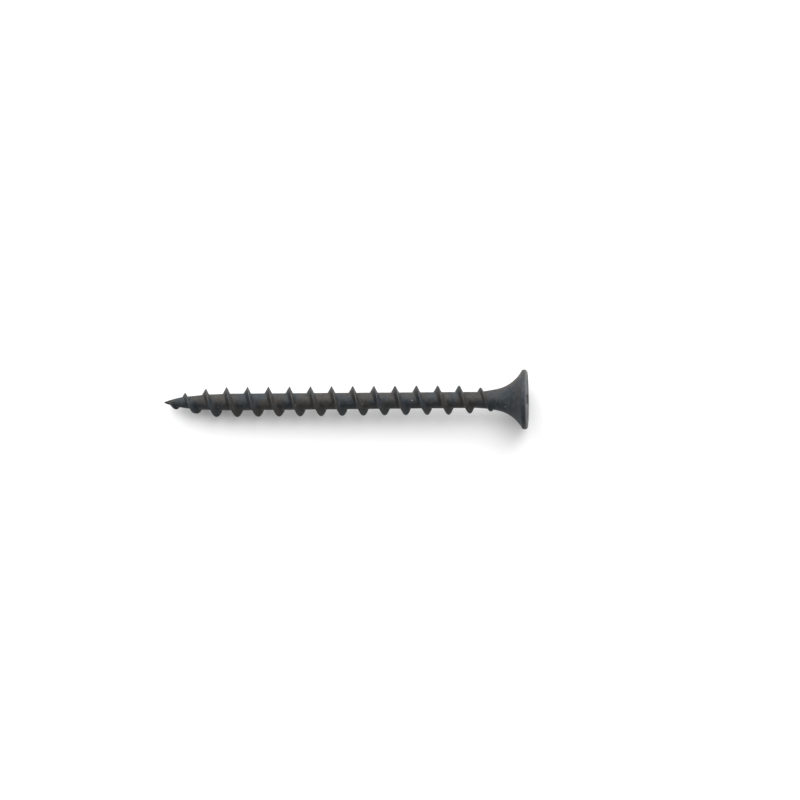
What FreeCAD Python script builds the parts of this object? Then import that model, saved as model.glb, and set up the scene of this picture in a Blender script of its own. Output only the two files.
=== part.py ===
"""Bugle-head wood screw with a coarse rolled thread and a cross recess, lying along the X axis.

The centre of the head's flat face is the origin. +X points out of the head, towards the driver,
and the gimlet point is at -X. The real screw is one piece of cold-headed, thread-rolled steel
wire. Its four regions, the head, shank, point and thread, are separate solids that meet face to
face, each in a node of its own.
"""

import FreeCAD
import Part
import math
import os
import Sketcher
from FreeCAD import Vector

# Driving dimensions, in millimetres and degrees. Each becomes a cell of the sheet.
SIZES = [
    ("screw_length", 50.0, "head face to tip"),
    ("head_dia", 8.1, "across the rim of the head"),
    ("rim_height", 0.76, "height of the rim, edge roundings included"),
    ("face_round", 0.3, "rounding between the face and the rim"),
    ("rim_round", 0.16, "rounding of the rim's rear edge"),
    ("flare_top_dia", 7.84, "wide end of the bugle flare, where it meets the rim"),
    ("flare_length", 4.3, "head face to the small end of the bugle flare"),
    ("flare_radius", 4.9, "radius of the hollow bugle flare"),
    ("neck_dia", 2.86, "small end of the flare"),
    ("neck_length", 1.2, "straight taper from the flare down to the foot of the neck"),
    ("neck_foot_dia", 2.43, "foot of the neck"),
    ("core_blend", 1.4, "length over which the foot of the neck runs out into the core"),
    ("core_rear_dia", 2.19, "thread core below the neck"),
    ("core_front_dia", 2.32, "thread core where the point starts"),
    ("point_length", 9.5, "tapered point"),
    ("shoulder_length", 5.8, "tip to the shoulder of the point"),
    ("shoulder_dia", 2.12, "shoulder of the point"),
    ("nose_length", 4.0, "rounded nose of the point"),
    ("nose_dia", 1.76, "thick end of the nose"),
    ("nose_radius", 12.8, "curve of the nose"),
    ("tip_dia", 0.16, "blunt tip"),
    ("thread_pitch", 2.91, "one turn of the single-start right-hand thread"),
    ("thread_datum", 38.376, "head face to a crest on the +Y side"),
    ("thread_rear_dia", 3.98, "over the crests where the run-out starts"),
    ("thread_front_dia", 4.16, "over the crests where they start to taper to the tip"),
    ("front_flank", 26.6, "flank on the point's side, from square to the axis"),
    ("rear_flank", 22.0, "flank on the head's side, from square to the axis"),
    ("crest_land", 0.1, "width of the crest"),
    ("blunt_land", 0.3, "extra width of the crest in the middle of its blunt stretch"),
    ("blunt_place", 4.8, "tip to the middle of the blunt stretch"),
    ("blunt_reach", 1.7, "half the length of the blunt stretch"),
    ("crest_taper", 7.5, "stretch at the tip over which the crests taper"),
    ("crest_tip_dia", 1.71, "crest diameter that the taper would reach at the tip"),
    ("lead_gap", 0.3, "bare tip in front of the thread"),
    ("lead_in", 1.6, "length over which the thread grows out of the tip"),
    ("run_out_start", 8.9, "head face to where the crests start to sink"),
    ("run_out_low", 6.4, "head face to where the crests are down to the height of the last turn"),
    ("run_out_end", 4.4, "head face to the end of the thread"),
    ("last_turn_dia", 3.34, "over the crest where the last turn starts"),
    ("last_end_dia", 3.56, "over the crest where the last turn ends"),
    ("run_out_fade", 0.9, "length over which the end of the thread dies away"),
    ("recess_span", 5.3, "cross recess at the mouth, wing tip to wing tip"),
    ("recess_wing", 1.24, "width of a wing at the mouth"),
    ("recess_corner", 0.62, "rounded corner between two wings at the mouth"),
    ("floor_span", 3.2, "cross recess at the bottom, wing tip to wing tip"),
    ("floor_wing", 0.94, "width of a wing at the bottom"),
    ("floor_corner", 0.5, "rounded corner between two wings at the bottom"),
    ("recess_depth", 2.45, "head face to the bottom of the wings"),
    ("pilot_dia", 1.6, "punched cone at the bottom of the recess"),
    ("pilot_depth", 0.4, "depth of the cone below the wings"),
]

STEPS_PER_TURN = 32
ROOT_SPANS = 4
FADED_HEIGHT = 0.02
BAD_STATES = ("Invalid", "Error")

# Profiles and plans as corners, each a pair of expressions of the sheet's cells, in order round
# the outline. An outline's arcs are listed by the number of the corner that they leave, with the
# expression of the radius. A positive side bends an arc's middle to the right of its chord.
HEAD_OUTLINE = [
    ("-Sizes.flare_length", "0"),
    ("0", "0"),
    ("0", "Sizes.head_dia / 2 - Sizes.face_round"),
    ("-Sizes.face_round", "Sizes.head_dia / 2"),
    ("Sizes.rim_round - Sizes.rim_height", "Sizes.head_dia / 2"),
    ("-Sizes.rim_height", "Sizes.flare_top_dia / 2"),
    ("-Sizes.flare_length", "Sizes.neck_dia / 2"),
]
HEAD_ARCS = {
    2: ("Sizes.face_round", 1),
    4: ("Sizes.rim_round", 1),
    5: ("Sizes.flare_radius", -1),
}

SHANK_OUTLINE = [
    ("Sizes.point_length - Sizes.screw_length", "0"),
    ("-Sizes.flare_length", "0"),
    ("-Sizes.flare_length", "Sizes.neck_dia / 2"),
    ("-Sizes.flare_length - Sizes.neck_length", "Sizes.neck_foot_dia / 2"),
    ("-Sizes.flare_length - Sizes.neck_length - Sizes.core_blend", "Sizes.core_rear_dia / 2"),
    ("Sizes.point_length - Sizes.screw_length", "Sizes.core_front_dia / 2"),
]

POINT_OUTLINE = [
    ("-Sizes.screw_length", "0"),
    ("Sizes.point_length - Sizes.screw_length", "0"),
    ("Sizes.point_length - Sizes.screw_length", "Sizes.core_front_dia / 2"),
    ("Sizes.shoulder_length - Sizes.screw_length", "Sizes.shoulder_dia / 2"),
    ("Sizes.nose_length - Sizes.screw_length", "Sizes.nose_dia / 2"),
    ("-Sizes.screw_length", "Sizes.tip_dia / 2"),
]
POINT_ARCS = {4: ("Sizes.nose_radius", 1)}

PILOT_OUTLINE = [
    ("-Sizes.recess_depth - Sizes.pilot_depth", "0"),
    ("-Sizes.recess_depth", "0"),
    ("-Sizes.recess_depth", "Sizes.pilot_dia / 2"),
]


def make_sheet(doc):
    """The sheet of driving dimensions, one cell with an alias for each."""
    sheet = doc.addObject("Spreadsheet::Sheet", "Sizes")
    for row, (name, value, meaning) in enumerate(SIZES, start=1):
        sheet.set(f"A{row}", name)
        sheet.set(f"B{row}", str(value))
        sheet.setAlias(f"B{row}", name)
        sheet.set(f"C{row}", meaning)
    doc.recompute()
    return sheet


def sheet_value(sheet, text):
    """The number that an expression of the sheet's cells comes to."""
    return float(sheet.evalExpression(text))


def new_body(doc, label):
    body = doc.addObject("PartDesign::Body", label)
    body.Label = label
    return body


def new_sketch(body, name, role):
    """A sketch on one of the body's own origin planes."""
    sketch = body.newObject("Sketcher::SketchObject", name)
    plane = next(part for part in body.Origin.OriginFeatures if part.Role == role)
    sketch.AttachmentSupport = [(plane, "")]
    sketch.MapMode = "FlatFace"
    return sketch


def arc_between(start, end, radius, side):
    """An arc from start to end, the short way, whose middle lies to the given side of the chord."""
    chord = end - start
    right = Vector(chord.y, -chord.x, 0).normalize() * side
    middle = (start + end) / 2
    drop = math.sqrt(radius**2 - (chord.Length / 2) ** 2)
    return Part.Arc(start, middle + right * (radius - drop), end)


def draw_outline(sketch, sheet, corners, arcs=None):
    """Draws a closed outline and binds each corner and each arc's radius to the sheet."""
    arcs = arcs or {}
    places = [Vector(sheet_value(sheet, x), sheet_value(sheet, y), 0) for x, y in corners]
    starts = []
    for number, start in enumerate(places):
        end = places[(number + 1) % len(places)]
        if number in arcs:
            radius, side = arcs[number]
            curve = arc_between(start, end, sheet_value(sheet, radius), side)
            edge = sketch.addGeometry(curve, False)
            swapped = sketch.getPoint(edge, 1).distanceToPoint(start) > 1e-6
        else:
            edge = sketch.addGeometry(Part.LineSegment(start, end), False)
            swapped = False
        starts.append((edge, 2 if swapped else 1, 1 if swapped else 2))
    for number, (edge, first, last) in enumerate(starts):
        after, after_first, _ = starts[(number + 1) % len(starts)]
        sketch.addConstraint(Sketcher.Constraint("Coincident", edge, last, after, after_first))
        for kind, text in zip(("DistanceX", "DistanceY"), corners[number]):
            spot = Sketcher.Constraint(kind, -1, 1, edge, first, sheet_value(sheet, text))
            index = sketch.addConstraint(spot)
            sketch.setExpression(f"Constraints[{index}]", text)
        if number in arcs:
            text = arcs[number][0]
            index = sketch.addConstraint(
                Sketcher.Constraint("Radius", edge, sheet_value(sheet, text))
            )
            sketch.setExpression(f"Constraints[{index}]", text)


def turn_profile(body, sheet, name, kind, corners, arcs=None):
    """Turns a half profile once round the X axis: a Revolution adds it and a Groove cuts it."""
    sketch = new_sketch(body, f"{name}_profile", "XY_Plane")
    draw_outline(sketch, sheet, corners, arcs)
    feature = body.newObject(f"PartDesign::{kind}", name)
    feature.Profile = sketch
    feature.ReferenceAxis = (sketch, ["H_Axis"])
    feature.Angle = 360.0
    sketch.Visibility = False
    return feature


def cross_outline(span, wing, corner):
    """Corners and arcs of a cross with four like wings, for the cells of one level."""
    half = f"Sizes.{span} / 2"
    side = f"Sizes.{wing} / 2"
    bend = f"{side} + Sizes.{corner}"
    corners = []
    arcs = {}
    quarter = [(half, side), (bend, side), (side, bend), (side, half)]
    for _ in range(4):
        arcs[len(corners) + 1] = (f"Sizes.{corner}", -1)
        corners += quarter
        quarter = [(f"-({y})", x) for x, y in quarter]
    return corners, arcs


def make_head(doc, sheet):
    """Rim, hollow flare and neck, with a cross recess that narrows towards its bottom."""
    body = new_body(doc, "head")
    turn_profile(body, sheet, "head_blank", "Revolution", HEAD_OUTLINE, HEAD_ARCS)
    mouth = new_sketch(body, "recess_mouth", "YZ_Plane")
    draw_outline(mouth, sheet, *cross_outline("recess_span", "recess_wing", "recess_corner"))
    floor = new_sketch(body, "recess_floor", "YZ_Plane")
    floor.setExpression("AttachmentOffset.Base.z", "-Sizes.recess_depth")
    draw_outline(floor, sheet, *cross_outline("floor_span", "floor_wing", "floor_corner"))
    doc.recompute()
    recess = body.newObject("PartDesign::SubtractiveLoft", "recess")
    recess.Profile = mouth
    recess.Sections = [floor]
    recess.Ruled = True
    doc.recompute()
    turn_profile(body, sheet, "recess_pilot", "Groove", PILOT_OUTLINE)
    doc.recompute()
    return body


def make_shank(doc, sheet):
    """The core that carries the thread, and the neck that it swells into."""
    body = new_body(doc, "shank")
    turn_profile(body, sheet, "shank_core", "Revolution", SHANK_OUTLINE)
    return body


def make_point(doc, sheet):
    """The slim cone, shoulder and rounded nose of the gimlet point."""
    body = new_body(doc, "point")
    turn_profile(body, sheet, "point_core", "Revolution", POINT_OUTLINE, POINT_ARCS)
    return body


def along(place, stations):
    """Value at a place on straight lines through (place, value) stations, held at both ends."""
    if place <= stations[0][0]:
        return stations[0][1]
    for (start, start_value), (end, end_value) in zip(stations, stations[1:]):
        if place < end:
            return start_value + (end_value - start_value) * (place - start) / (end - start)
    return stations[-1][1]


def height_on_arc(place, start, end, radius):
    """Height at a place on an arc from start to end that bulges away from the axis."""
    chord = end - start
    up = Vector(-chord.y, chord.x, 0).normalize()
    centre = (start + end) / 2 - up * math.sqrt(radius**2 - (chord.Length / 2) ** 2)
    return centre.y + math.sqrt(radius**2 - (place - centre.x) ** 2)


def core_radius(cell, place):
    """Radius of the bare screw at a distance from the tip, the part that the thread stands on."""
    nose = cell("nose_length")
    if place < nose:
        ends = Vector(0, cell("tip_dia") / 2, 0), Vector(nose, cell("nose_dia") / 2, 0)
        return height_on_arc(place, *ends, cell("nose_radius"))
    neck_end = cell("screw_length") - cell("flare_length")
    neck_foot = neck_end - cell("neck_length")
    stations = [
        (nose, cell("nose_dia") / 2),
        (cell("shoulder_length"), cell("shoulder_dia") / 2),
        (cell("point_length"), cell("core_front_dia") / 2),
        (neck_foot - cell("core_blend"), cell("core_rear_dia") / 2),
        (neck_foot, cell("neck_foot_dia") / 2),
        (neck_end, cell("neck_dia") / 2),
    ]
    return along(place, stations)


def crest_radius(cell, place):
    """Radius over the crest at a distance from the tip, before the ends of the thread fade."""
    length = cell("screw_length")
    stations = [
        (0, cell("crest_tip_dia") / 2),
        (cell("crest_taper"), cell("thread_front_dia") / 2),
        (length - cell("run_out_start"), cell("thread_rear_dia") / 2),
        (length - cell("run_out_low"), cell("last_turn_dia") / 2),
        (length - cell("run_out_end"), cell("last_end_dia") / 2),
    ]
    return along(place, stations)


def crest_width(cell, place):
    """Width of the crest at a distance from the tip. A stretch behind the tip is blunt."""
    offset = min(abs(place - cell("blunt_place")) / cell("blunt_reach"), 1.0)
    return cell("crest_land") + cell("blunt_land") * math.cos(math.pi / 2 * offset) ** 2


def ridge_section(cell, angle, centre, fade):
    """Corners of the ridge in the half plane at an angle: along the root, then back over the crest."""
    root = core_radius(cell, centre)
    crest = root + max((crest_radius(cell, centre) - root) * fade, FADED_HEIGHT)
    half_land = crest_width(cell, centre) / 2
    front_foot = half_land + (crest - root) * math.tan(math.radians(cell("front_flank")))
    rear_foot = half_land + (crest - root) * math.tan(math.radians(cell("rear_flank")))
    corners = []
    for step in range(ROOT_SPANS + 1):
        place = centre - front_foot + (front_foot + rear_foot) * step / ROOT_SPANS
        corners.append((place, core_radius(cell, place)))
    corners += [(centre + half_land, crest), (centre - half_land, crest)]
    length = cell("screw_length")
    return [
        Vector(place - length, radius * math.cos(angle), radius * math.sin(angle))
        for place, radius in corners
    ]


def smooth_curve(points):
    """A smooth curve through points that lie one angle step apart."""
    curve = Part.BSplineCurve()
    curve.interpolate(Points=list(points), Parameters=[float(step) for step in range(len(points))])
    return curve


def ruled_face(one, two):
    """The face swept by straight lines between like points of two curves."""
    surface = Part.BSplineSurface()
    rows = [list(pair) for pair in zip(one.getPoles(), two.getPoles())]
    along = one.getMultiplicities(), one.getKnots()
    surface.buildFromPolesMultsKnots(rows, along[0], [2, 2], along[1], [0, 1], False, False, 3, 1)
    return surface.toShape()


def make_thread(doc, sheet):
    """The right-hand ridge: ruled faces between helical edges, closed by a small cap at each end."""
    values = {name: sheet_value(sheet, f"Sizes.{name}") for name, _, _ in SIZES}
    cell = values.__getitem__
    length = cell("screw_length")
    pitch = cell("thread_pitch")
    datum = length - cell("thread_datum")
    first = cell("lead_gap")
    last = length - cell("run_out_end")
    count = round((last - first) / pitch * STEPS_PER_TURN)
    sections = []
    for step in range(count + 1):
        centre = first + (last - first) * step / count
        fade = min((centre - first) / cell("lead_in"), (last - centre) / cell("run_out_fade"), 1.0)
        angle = 2 * math.pi * (centre - datum) / pitch
        sections.append(ridge_section(cell, angle, centre, fade))
    curves = [smooth_curve(line) for line in zip(*sections)]
    faces = [ruled_face(one, two) for one, two in zip(curves, curves[1:] + curves[:1])]
    faces += [Part.Face(Part.makePolygon(ring + ring[:1])) for ring in (sections[0], sections[-1])]
    shell = Part.makeShell(faces)
    shell.sewShape()
    solid = Part.makeSolid(shell.Shells[0])
    if solid.Volume < 0:
        solid.reverse()
    ridge = doc.addObject("Part::Feature", "thread")
    ridge.Label = "thread"
    ridge.Shape = solid
    ridge.Placement = FreeCAD.Placement()
    return ridge


def check_document(doc, nodes):
    """Stops the build if an object failed or a node holds no sound solid."""
    for thing in doc.Objects:
        failed = [state for state in thing.State if state in BAD_STATES]
        if failed:
            raise RuntimeError(f"{thing.Label} is {failed}")
    for node in nodes:
        shape = node.Shape
        if shape.isNull() or not shape.isValid() or len(shape.Solids) != 1:
            raise RuntimeError(f"{node.Label} isn't one sound solid")


def main():
    doc = FreeCAD.newDocument("wood_screw")
    sheet = make_sheet(doc)
    nodes = [
        make_head(doc, sheet),
        make_shank(doc, sheet),
        make_point(doc, sheet),
        make_thread(doc, sheet),
    ]
    doc.recompute()
    check_document(doc, nodes)
    os.makedirs("parts", exist_ok=True)
    for node in nodes:
        node.Shape.exportStep(f"parts/{node.Label}.step")
        print(f"{node.Label}: {node.Shape.Volume:.3f} mm3")


main()
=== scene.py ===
import math

import bpy
import numpy as np
from mathutils import Matrix, Vector


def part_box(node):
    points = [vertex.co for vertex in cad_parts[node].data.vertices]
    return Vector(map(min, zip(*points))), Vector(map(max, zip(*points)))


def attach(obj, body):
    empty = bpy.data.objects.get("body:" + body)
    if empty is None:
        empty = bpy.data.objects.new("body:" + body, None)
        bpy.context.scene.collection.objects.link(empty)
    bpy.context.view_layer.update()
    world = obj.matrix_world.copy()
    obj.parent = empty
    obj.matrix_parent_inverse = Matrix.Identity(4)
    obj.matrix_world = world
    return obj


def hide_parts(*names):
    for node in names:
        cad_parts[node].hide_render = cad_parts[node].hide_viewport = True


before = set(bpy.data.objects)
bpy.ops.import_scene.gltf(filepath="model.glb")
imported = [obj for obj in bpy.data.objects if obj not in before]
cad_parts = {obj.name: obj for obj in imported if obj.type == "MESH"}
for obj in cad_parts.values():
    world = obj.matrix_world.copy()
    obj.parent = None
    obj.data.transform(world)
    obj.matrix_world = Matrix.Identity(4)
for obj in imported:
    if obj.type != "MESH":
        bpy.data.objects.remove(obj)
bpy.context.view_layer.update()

mm = 0.001


# Shank: the wire core that the dies squeeze down between the turns of the thread. It is
# case-hardened carbon steel under a black phosphate coat, lightly oiled. Its rear end swells into
# the neck just below the head, and it carries the thread from there to the point.
shank_low, shank_high = (np.array(corner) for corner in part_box("shank"))
point_low, point_high = (np.array(corner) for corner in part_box("point"))
neck_radius = shank_high[2]
neck_length = 1.2 * mm
neck_foot_radius = 1.215 * mm
core_blend = 1.4 * mm
rear_core_radius = 1.095 * mm
front_core_radius = point_high[2]
shoulder_length = 5.8 * mm
shoulder_radius = 1.06 * mm
nose_length = 4.0 * mm
nose_start_radius = 0.88 * mm
corner_easing = 0.35 * mm
core_columns = 128
core_ring_gap = 0.1 * mm
roll_ripple = 0.006 * mm
roll_ripple_turns = 5
roll_ripple_twist = 900
roll_ripple_drift = 2100

# The straight stretches of the bare wire, from the nose to a little beyond the neck.
neck_foot = shank_high[0] - neck_length
nose_start = point_low[0] + nose_length
wire_places = [
    nose_start,
    point_low[0] + shoulder_length,
    shank_low[0],
    neck_foot - core_blend,
    neck_foot,
    shank_high[0] + neck_length,
]
wire_radii = [
    nose_start_radius,
    shoulder_radius,
    front_core_radius,
    rear_core_radius,
    neck_foot_radius,
    2 * neck_radius - neck_foot_radius,
]


def wire_radius(x):
    """The bare wire between the nose and the flare, with the corners of its profile eased."""
    shifts = np.linspace(-corner_easing, corner_easing, 9)
    return np.mean([np.interp(x + shift, wire_places, wire_radii) for shift in shifts], 0)


def rolled_dip(x, angle):
    """Long shallow hollows that the dies leave round the core, always inwards."""
    broad = roll_ripple_turns * angle + roll_ripple_twist * x
    narrow = 2.3 * broad + roll_ripple_drift * x
    return roll_ripple * (0.5 + 0.25 * np.sin(broad) + 0.25 * np.sin(narrow))


def ring(x, radii, angles):
    """Points round the X axis at one place along it."""
    radii = np.broadcast_to(radii, angles.shape)
    return np.stack([np.full(angles.shape, x), radii * np.cos(angles), radii * np.sin(angles)], 1)


def steel_mesh(name, rings, rub=None, painted_light_and_specks=None):
    """A closed skin over rings of like length, with a fan over each end ring.

    rub holds how rubbed each ring's points are, and the last list how much paler their coat is painted,
    as painted light where light is taken to fall.
    """
    count = len(rings[0])
    hubs = [rings[0].mean(0), rings[-1].mean(0)]
    points = np.concatenate([*rings, hubs])
    start_hub = len(points) - 2
    end_hub = len(points) - 1
    end_row = start_hub - count
    faces = []
    for row in range(len(rings) - 1):
        here = row * count
        there = here + count
        for column in range(count):
            after = (column + 1) % count
            faces.append((here + column, here + after, there + after, there + column))
    for column in range(count):
        after = (column + 1) % count
        faces.append((start_hub, after, column))
        faces.append((end_hub, end_row + column, end_row + after))
    mesh = bpy.data.meshes.new(name)
    mesh.from_pydata(points.tolist(), [], faces)
    plain = [np.zeros(count)] * len(rings)
    for look, shares in (("rub", rub or plain), ("painted_light_and_specks", painted_light_and_specks or plain)):
        shares = np.concatenate([*shares, shares[0][:1], shares[-1][:1]])
        mesh.attributes.new(look, "FLOAT", "POINT").data.foreach_set("value", shares)
    mesh.polygons.foreach_set("use_smooth", [True] * len(faces))
    mesh.validate()
    piece = bpy.data.objects.new(name, mesh)
    bpy.context.scene.collection.objects.link(piece)
    return piece


def smooth_step(share):
    share = np.clip(share, 0.0, 1.0)
    return share * share * (3 - 2 * share)


class Value:
    """A shader socket that takes part in plain sums."""

    def __init__(self, finish, socket):
        self.finish = finish
        self.socket = socket

    def math(self, operation, first, second):
        return self.finish.node("ShaderNodeMath", {"operation": operation}, {0: first, 1: second})

    def __add__(self, other):
        return self.math("ADD", self, other)

    def __radd__(self, other):
        return self.math("ADD", other, self)

    def __sub__(self, other):
        return self.math("SUBTRACT", self, other)

    def __rsub__(self, other):
        return self.math("SUBTRACT", other, self)

    def __mul__(self, other):
        return self.math("MULTIPLY", self, other)

    def __rmul__(self, other):
        return self.math("MULTIPLY", other, self)

    def __gt__(self, other):
        return self.math("GREATER_THAN", self, other)


class Finish:
    """One material, or the light of the room, while it is being made."""

    def __init__(self, owner, shader):
        self.owner = owner
        owner.use_nodes = True
        self.tree = owner.node_tree
        self.shader = self.tree.nodes[shader]

    def plug(self, socket, value):
        if isinstance(value, Value):
            self.tree.links.new(value.socket, socket)
        else:
            socket.default_value = value

    def node(self, kind, settings, sockets, output=0):
        """Any node: its settings are made first, then its sockets are set or linked."""
        made = self.tree.nodes.new(kind)
        for name, value in settings.items():
            setattr(made, name, value)
        shown = [socket for socket in made.inputs if socket.enabled]
        for key, value in sockets.items():
            named = [socket for socket in shown if socket.name == key]
            self.plug(named[0] if named else shown[key], value)
        outputs = [socket for socket in made.outputs if socket.enabled]
        return Value(self, outputs[output])

    def blend(self, share, first, second):
        """Two colours mixed by a share."""
        sockets = {"Factor": share, "A": first, "B": second}
        return self.node("ShaderNodeMix", {"data_type": "RGBA"}, sockets)

    def between(self, value, low, high):
        """0 below low, 1 above high, and a smooth rise between them."""
        settings = {"interpolation_type": "SMOOTHSTEP"}
        sockets = {"Value": value, "From Min": low, "From Max": high}
        return self.node("ShaderNodeMapRange", settings, sockets)

    def dress(self, **values):
        """Values of the shader's own sockets, with spaces written as underscores."""
        for name, value in values.items():
            self.plug(self.shader.inputs[name.replace("_", " ")], value)
        return self.owner


def grey(level, tint=0.0):
    """A linear grey. A positive tint leans to blue, a negative one to brown."""
    return (level * (1 - tint), level, level * (1 + tint), 1)


def black_phosphate(name, level, specks, rubbed_level):
    """Fine crystals over steel, in cool and warm patches where the oil dried, paler where rubbed, and
    painted paler still where the mesh marks painted light.

    level is the coat's middle grey, and specks the share of crystal clumps that stay white.
    """
    coat = Finish(bpy.data.materials.new(name), "Principled BSDF")
    place = coat.node("ShaderNodeTexCoord", {}, {}, 3)
    place = coat.node("ShaderNodeVectorMath", {"operation": "SCALE"}, {"Vector": place, "Scale": 1 / mm})

    def noise(scale, detail, roughness):
        sockets = {"Vector": place, "Scale": scale, "Detail": detail, "Roughness": roughness}
        return coat.node("ShaderNodeTexNoise", {}, sockets)

    def cells(scale, output):
        sockets = {"Vector": place, "Scale": scale, "Randomness": 1.0}
        return coat.node("ShaderNodeTexVoronoi", {}, sockets, output)

    def pick(scale):
        return coat.node("ShaderNodeSeparateColor", {}, {"Color": cells(scale, 1)})

    # Scales are features to the millimetre.
    patch = noise(scale=0.33, detail=2.0, roughness=0.5)
    blotch = noise(scale=1.7, detail=5.0, roughness=0.62)
    grain = noise(scale=8.0, detail=6.0, roughness=0.7)
    fine = noise(scale=26.0, detail=3.0, roughness=0.6)
    facet = pick(13.0)
    clump = 3.4
    small_clump = 6.1
    # Painted light: this attribute marks where the coat is painted paler to stand in for light falling
    # there, and it also brings more specks there.
    painted_light_and_specks = coat.node("ShaderNodeAttribute", {"attribute_name": "painted_light_and_specks"}, {}, 2)
    specks = specks * (1 + 0.4 * painted_light_and_specks)
    ragged = coat.between(fine, 0.4, 0.62)
    speck = (1 - coat.between(cells(clump, 0) - ragged * 0.14, 0.0, 0.3)) * (pick(clump) > 1 - specks)
    speck = speck * (0.35 + 0.65 * coat.between(blotch, 0.42, 0.6))
    faint_speck = 1 - coat.between(cells(small_clump, 0), 0.1, 0.4)
    faint_speck = faint_speck * (pick(small_clump) > 1 - 5 * specks)
    faint_speck = faint_speck * coat.between(grain, 0.4, 0.62)
    rub = coat.node("ShaderNodeAttribute", {"attribute_name": "rub"}, {}, 2)
    rub = coat.between(rub + (grain - 0.5) * 0.9, 0.35, 0.95)
    tone = coat.between(blotch * 0.8 + grain * 0.2, 0.34, 0.66)
    warmth = coat.between(patch * 0.8 + blotch * 0.2, 0.42, 0.58)
    dark = coat.blend(warmth, grey(level * 0.64, 0.25), grey(level * 0.68, -0.08))
    light = coat.blend(warmth, grey(level * 1.42, 0.18), grey(level * 1.46, -0.11))
    colour = coat.blend(tone, dark, light)
    sparkle = coat.between(grain * 0.5 + facet * 0.5, 0.5, 0.9)
    colour = coat.blend(sparkle * 0.3, colour, grey(level * 2.4, 0.03))
    colour = coat.blend(rub, colour, grey(rubbed_level, 0.02))
    # Painted light: the colour is scaled up by the attribute's share, as if more light fell there.
    painted_lighter = {"Vector": colour, "Scale": 1 + painted_light_and_specks}
    colour = coat.node("ShaderNodeVectorMath", {"operation": "SCALE"}, painted_lighter)
    colour = coat.blend(faint_speck * 0.3, colour, grey(0.2, 0.02))
    colour = coat.blend(speck * 0.8, colour, grey(0.42, 0.01))
    height = grain * 0.45 + facet * 0.35 + fine * 0.3 + speck * 0.8 + faint_speck * 0.4
    bump = coat.node("ShaderNodeBump", {}, {"Strength": 0.6, "Distance": 0.012 * mm, "Height": height})
    return coat.dress(
        Base_Color=colour,
        Roughness=0.62 + (tone - 0.5) * 0.14 - speck * 0.2 - rub * 0.12,
        Metallic=0.08 + rub * 0.25,
        Normal=bump,
        Specular_IOR_Level=0.25,
    )


core_angles = np.linspace(0, 2 * math.pi, core_columns, endpoint=False)
shank_rings = round((shank_high[0] - shank_low[0]) / core_ring_gap)
shank_places = np.linspace(shank_low[0], shank_high[0], shank_rings)
shank = steel_mesh(
    "shank_core",
    [ring(x, wire_radius(x) - rolled_dip(x, core_angles), core_angles) for x in shank_places],
)
core_coat = black_phosphate("core black phosphate", 0.026, 0.015, 0.05)
shank.data.materials.append(core_coat)
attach(shank, "root")
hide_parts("shank")


# Point: the gimlet point, pinched to shape between the dies as the thread is rolled. It is the
# same wire as the shank. A slim cone runs into a rounded nose that ends in a tiny blunt tip.
nose_curve = 12.8 * mm
tip_radius = 0.08 * mm


def arc_radius(x, start, end, curve, side=1):
    """Radius at x on an arc between two (x, radius) points: side 1 bulges, and -1 is hollow."""
    start, end = np.array(start), np.array(end)
    chord = end - start
    length = np.linalg.norm(chord)
    outwards = np.array([-chord[1], chord[0]]) / length
    centre = (start + end) / 2 - side * outwards * math.sqrt(curve**2 - (length / 2) ** 2)
    return centre[1] + side * np.sqrt(curve**2 - (x - centre[0]) ** 2)


def bare_radius(x):
    """The bare screw from the tip to the flare: the nose, then the wire."""
    ends = (point_low[0], tip_radius), (nose_start, nose_start_radius)
    nose = arc_radius(np.clip(x, point_low[0], nose_start), *ends, nose_curve)
    return np.where(x < nose_start, nose, wire_radius(x))


point_places = np.linspace(point_low[0], point_high[0], 96)
point = steel_mesh(
    "gimlet_point",
    [
        ring(x, bare_radius(x) - rolled_dip(x, core_angles) * min(bare_radius(x) / mm, 1), core_angles)
        for x in point_places
    ],
)
point.data.materials.append(core_coat)
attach(point, "root")
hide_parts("point")


# Thread: one sharp right-hand ridge, rolled up out of the wire from the tip to the neck, where
# its crest sinks and dies away. Its flanks meet the core in small fillets. The crest is a narrow
# land, blunt for a turn behind the tip, and it loses its coat first as screws rub in the box.
pitch = 2.91 * mm
crest_datum = -38.376 * mm
thread_start = -49.7 * mm
thread_end = -4.4 * mm
crest_places = [point_low[0], -42.5 * mm, -8.9 * mm, -6.4 * mm, thread_end]
crest_radii = [0.855 * mm, 2.08 * mm, 1.99 * mm, 1.67 * mm, 1.78 * mm]
lead_in = 1.6 * mm
run_out_fade = 0.9 * mm
front_flank = math.tan(math.radians(26.6))
rear_flank = math.tan(math.radians(22))
crest_land = 0.1 * mm
blunt_land = 0.3 * mm
blunt_place = -45.2 * mm
blunt_reach = 1.7 * mm
crest_edge = 0.06 * mm
root_fillet = 0.16 * mm
thread_steps_per_turn = 84
crest_unevenness = 0.016 * mm
faded_height = 0.012 * mm
foot_sink = 0.004 * mm
underside_sink = 0.03 * mm
underside_share = 0.9
least_radius = 0.02 * mm


def half_ridge(height, land, slope):
    """(offset along the axis, height above the core, rub) from a fillet to the crest's middle."""
    fillet = min(root_fillet, height * 0.5)
    edge = min(crest_edge, height * 0.2)
    half_land = land / 2
    lean = math.atan(1 / slope)
    foot = half_land + height * slope + fillet * math.tan(lean / 2)
    points = []
    for share in np.linspace(0, 1, 6):
        turn = lean * share
        points.append((foot - fillet * math.sin(turn), fillet * (1 - math.cos(turn)), 0.0))
    low = points[-1][1]
    for share in (0.35, 0.7):
        rise = low + (height - edge - low) * share
        points.append((half_land + (height - rise) * slope, rise, 0.15 * share))
    crest_turn = edge * math.tan(lean / 2)
    for share in np.linspace(0, 1, 4):
        turn = lean * (1 - share)
        offset = half_land - crest_turn + edge * math.sin(turn)
        points.append((offset, height - edge * (1 - math.cos(turn)), 0.4 + 0.35 * share))
    points.append((0.0, height, 0.75))
    return points


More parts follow.
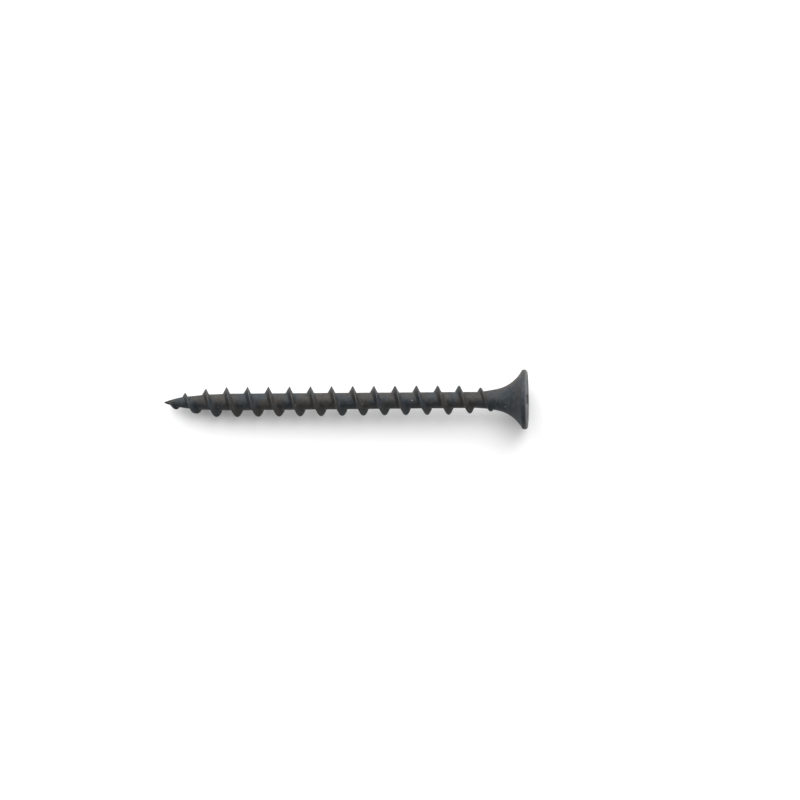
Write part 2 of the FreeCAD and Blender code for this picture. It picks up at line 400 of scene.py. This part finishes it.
thread_steps = round((thread_end - thread_start) / pitch * thread_steps_per_turn)
thread_sections = []
thread_rub = []
for step in range(thread_steps + 1):
    centre = thread_start + (thread_end - thread_start) * step / thread_steps
    angle = 2 * math.pi * (centre - crest_datum) / pitch
    full = np.interp(centre, crest_places, crest_radii) - bare_radius(centre)
    fade = min((centre - thread_start) / lead_in, 1.0) * smooth_step((thread_end - centre) / run_out_fade)
    uneven = 0.5 + 0.3 * math.sin(2.7 * angle) + 0.2 * math.sin(7.1 * angle + 1)
    height = max((full - crest_unevenness * uneven) * fade, faded_height)
    blunt = math.cos(math.pi / 2 * min(abs(centre - blunt_place) / blunt_reach, 1.0)) ** 2
    land = crest_land + blunt_land * blunt
    rear = half_ridge(height, land, rear_flank)
    front = [(-offset, rise, rub) for offset, rise, rub in half_ridge(height, land, front_flank)]
    offsets, rises, rubs = np.array(rear + front[-2::-1]).T
    rises[[0, -1]] = -foot_sink
    offsets = np.append(offsets, [underside_share * offsets[-1], underside_share * offsets[0]])
    rises = np.append(rises, [-underside_sink] * 2)
    radii = np.maximum(bare_radius(centre + offsets) + rises, least_radius)
    thread_sections.append(
        np.stack([centre + offsets, radii * math.cos(angle), radii * math.sin(angle)], 1)
    )
    thread_rub.append(np.append(rubs, [0, 0]))
thread = steel_mesh("rolled_thread", thread_sections, thread_rub)
thread.data.materials.append(black_phosphate("thread black phosphate", 0.027, 0.015, 0.062))
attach(thread, "root")
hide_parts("thread")


# Head: the bugle head, upset cold from the wire in one blow and punched with a cross recess in
# the next. The punch leaves tapered wings, a round centre and a small cone at the bottom. The
# rim is a short band with rubbed edges, and the hollow flare under it runs into the neck.
head_low, head_high = (np.array(corner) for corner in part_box("head"))
rim_radius = head_high[2]
rim_height = 0.76 * mm
face_round = 0.34 * mm
rim_edge = 0.28 * mm
flare_top_radius = 3.92 * mm
flare_curve = 4.9 * mm
mouth = {"span": 5.3 * mm, "wing": 1.24 * mm, "corner": 0.62 * mm}
floor_cross = {"span": 3.2 * mm, "wing": 0.94 * mm, "corner": 0.5 * mm}
recess_depth = 2.45 * mm
pilot_radius = 0.8 * mm
pilot_depth = 0.4 * mm
pilot_edge = 0.02 * mm
face_dish = 0.015 * mm
mouth_edge = 0.07 * mm
floor_edge = 0.1 * mm
floor_edge_turn = 80
flare_crowding = 1.25
# Painted light: the face, the lip and walls near the mouth, and the middle of the recess floor are
# painted paler to stand in for the light that falls on them.
face_painted_light = 1.7
recess_middle_painted_light = 5.5
wing_end_steps = 10
wing_side_steps = 8
corner_steps = 18


def cross_outline(span, wing, corner, grow=0.0):
    """Points round a cross of four wings, anticlockwise from the +Y wing, (Y, Z) each."""
    half, side = span / 2 + grow, wing / 2 + grow
    bend = wing / 2 + corner
    round_radius = corner - grow
    points = []
    for share in np.linspace(-1, 1, wing_end_steps, endpoint=False):
        points.append((half, side * share))
    for share in np.linspace(0, 1, wing_side_steps, endpoint=False):
        points.append((half + (bend - half) * share, side))
    for share in np.linspace(0, 1, corner_steps, endpoint=False):
        turn = math.radians(90) * share
        points.append((bend - round_radius * math.sin(turn), bend - round_radius * math.cos(turn)))
    for share in np.linspace(0, 1, wing_side_steps, endpoint=False):
        points.append((side, bend + (half - bend) * share))
    quarter = np.array(points)
    turned = np.stack([-quarter[:, 1], quarter[:, 0]], 1)
    return np.concatenate([quarter, turned, -quarter, -turned])


def at_depth(x, outline):
    return np.concatenate([np.full((len(outline), 1), x), outline], 1)


mouth_outline = cross_outline(**mouth)
floor_outline = cross_outline(**floor_cross)
head_angles = np.arctan2(mouth_outline[:, 1], mouth_outline[:, 0])
circle = np.stack([np.cos(head_angles), np.sin(head_angles)], 1)
head_rings = []
head_rub = []
head_painted_light = []


def add_ring(x, outline, rub=0.0, painted_light_and_specks=0.0):
    head_rings.append(at_depth(x, outline))
    head_rub.append(np.full(len(outline), rub))
    head_painted_light.append(np.full(len(outline), painted_light_and_specks))


def recess_floor_painted_light(outline):
    """Painted light on the bottom of the recess: palest in the middle, as if lit there, fading out along
    the wings, which keep the plain coat and look shaded.
    """
    radius = np.linalg.norm(outline, axis=1)
    return recess_middle_painted_light * (1 - smooth_step((radius - pilot_radius * 0.6) / pilot_radius))


# The recess floor's rings carry painted light, palest in the middle.
for share in (0.12, 0.45, 0.8, 0.95):
    cone = circle * pilot_radius * share
    add_ring(-recess_depth - pilot_depth * (1 - share), cone, painted_light_and_specks=recess_floor_painted_light(cone))
for x, radius in ((-pilot_edge / 2, pilot_radius), (0.0, pilot_radius + pilot_edge)):
    add_ring(x - recess_depth, circle * radius, painted_light_and_specks=recess_floor_painted_light(circle * radius))
floor_inset = cross_outline(**floor_cross, grow=-floor_edge)
for share in (0.4, 0.8):
    bottom = circle * pilot_radius * (1 - share) + floor_inset * share
    add_ring(-recess_depth, bottom, painted_light_and_specks=recess_floor_painted_light(bottom))
for share in np.linspace(0, 1, 5):
    turn = math.radians(floor_edge_turn) * share
    drop = floor_edge * (1 - math.sin(turn))
    rise = floor_edge * (1 - math.cos(turn))
    bottom = cross_outline(**floor_cross, grow=-drop)
    add_ring(-recess_depth + rise, bottom, painted_light_and_specks=recess_floor_painted_light(bottom) * (1 - share))
wall_foot = -recess_depth + floor_edge
for share in np.linspace(0, 1, 14)[1:-1]:
    x = wall_foot + (-mouth_edge - wall_foot) * share
    wall = floor_outline + (mouth_outline - floor_outline) * share
    add_ring(x, wall, 0.25 * share**6, face_painted_light * share**8)
for share in np.linspace(0, 1, 6):
    turn = math.radians(90) * share
    lip = cross_outline(**mouth, grow=mouth_edge * (1 - math.cos(turn)))
    add_ring(-mouth_edge * (1 - math.sin(turn)) - face_dish, lip, 0.35 + 0.2 * share, face_painted_light)
face_radius = rim_radius - face_round
for share in (0.06, 0.16, 0.3, 0.46, 0.62, 0.78, 0.9, 0.97):
    dish = face_dish * (1 - smooth_step(share * 1.6))
    band = lip * (1 - share) + circle * face_radius * share
    add_ring(-dish, band, 0.3 * smooth_step((share - 0.7) / 0.3), face_painted_light)
for share in np.linspace(0, 1, 8):
    turn = math.radians(90) * share
    radius = face_radius + face_round * math.sin(turn)
    x = -face_round * (1 - math.cos(turn))
    add_ring(x, circle * radius, 0.35 + 0.4 * math.sin(2 * turn), face_painted_light * (1 - smooth_step(share)))
for share in (0.25, 0.5, 0.75):
    x = -face_round - (rim_height - face_round - rim_edge) * share
    add_ring(x, circle * rim_radius, 0.25)
under_drop = rim_radius - flare_top_radius
for share in np.linspace(0, 1, 7):
    turn = math.radians(90) * share
    x = -rim_height + rim_edge * (1 - math.sin(turn))
    radius = rim_radius - under_drop * (1 - math.cos(turn))
    add_ring(x, circle * radius, 0.5 * (1 - share))
flare_ends = (head_low[0], neck_radius), (-rim_height, flare_top_radius)
flare_length = -rim_height - head_low[0]
for share in np.linspace(0, 1, 56)[1:]:
    x = head_low[0] + flare_length * (1 - share) ** flare_crowding
    radius = arc_radius(x, *flare_ends, flare_curve, -1)
    add_ring(x, circle * radius)
# The rings run from the recess out to the neck. Turned about, their skin faces outwards.
head = steel_mesh("bugle_head", head_rings[::-1], head_rub[::-1], head_painted_light[::-1])
head.data.materials.append(black_phosphate("head black phosphate", 0.028, 0.03, 0.06))
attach(head, "root")
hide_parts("head")


# Floor: a pale matt board. A screw on its side lies on the rim of its head and on the front
# crests of its thread, so its axis leans, and the board leans by that angle the other way.
rest_x = crest_places[1] + pitch / 2
lean = math.atan((rim_radius - crest_radii[1]) / -rest_x)
board_half = 1.5
board_points = 24
board_grid = np.linspace(-board_half, board_half, board_points)
board_corners = [
    (x, y, -rim_radius / math.cos(lean) - x * math.tan(lean)) for x in board_grid for y in board_grid
]
board_faces = [
    (row * board_points + column, (row + 1) * board_points + column,
     (row + 1) * board_points + column + 1, row * board_points + column + 1)
    for row in range(board_points - 1)
    for column in range(board_points - 1)
]
board_mesh = bpy.data.meshes.new("pale_board")
board_mesh.from_pydata(board_corners, [], board_faces)
board = bpy.data.objects.new("pale_board", board_mesh)
bpy.context.scene.collection.objects.link(board)
board_paint = Finish(bpy.data.materials.new("matt white board"), "Principled BSDF")
board_place = board_paint.node("ShaderNodeTexCoord", {}, {}, 3)
board_cloud = board_paint.node(
    "ShaderNodeTexNoise", {}, {"Vector": board_place, "Scale": 9.0, "Detail": 3.0}
)
board.data.materials.append(
    board_paint.dress(
        Base_Color=board_paint.blend(board_cloud, grey(0.86), grey(0.9)),
        Roughness=0.7 + board_cloud * 0.1,
    )
)


# Studio light: one broad soft lamp up beyond the screw, on its +Y side, and a pale room that is
# brightest on that side.
aim = Vector((-25 * mm, 0, 0))
lamp_place = Vector((0.0, 0.4, 0.32))
lamp = bpy.data.lights.new("soft_lamp", "AREA")
lamp.size = 0.7
lamp.energy = 4.8
lamp_stand = bpy.data.objects.new("soft_lamp", lamp)
lamp_stand.location = lamp_place
lamp_stand.rotation_euler = (aim - lamp_place).to_track_quat("-Z", "Y").to_euler()
bpy.context.scene.collection.objects.link(lamp_stand)
room = Finish(bpy.data.worlds.new("pale_room"), "Background")
towards = room.node("ShaderNodeTexCoord", {}, {}, 0)
towards = room.node("ShaderNodeSeparateXYZ", {}, {"Vector": towards}, 1)
room_dark = 0.2
room_rise = 1.15
room_turn = 0.8
brightness = room_dark + room_rise * room.between(towards, -room_turn, room_turn)
room.dress(Color=(1, 1, 1, 1), Strength=brightness)
bpy.context.scene.world = room.owner
bpy.context.scene.view_settings.view_transform = "Standard"


# Camera: square above the screw but out beyond its head, so it sees the thread more and more
# from behind towards the point. The head end is a touch higher in the picture than the point.
lens = 93.1
film = 36.0
picture_width = 108.9 * mm
tilt = math.radians(6.145)
roll = math.radians(0.504)
picture_middle = Vector((-17.35 * mm, 0.07 * mm, 0))
back = Vector((math.sin(tilt), 0, math.cos(tilt)))
across = Vector((math.cos(tilt), 0, -math.sin(tilt)))
upward = Vector((0, 1, 0))
right = across * math.cos(roll) - upward * math.sin(roll)
top = across * math.sin(roll) + upward * math.cos(roll)
camera_data = bpy.data.cameras.new("camera")
camera_data.lens = lens
camera_data.sensor_width = film
camera_data.clip_start = 10 * mm
camera = bpy.data.objects.new("camera", camera_data)
turned = Matrix((right, top, back)).transposed().to_4x4()
camera.matrix_world = Matrix.Translation(picture_middle + back * picture_width * lens / film) @ turned
bpy.context.scene.collection.objects.link(camera)
bpy.context.scene.camera = camera
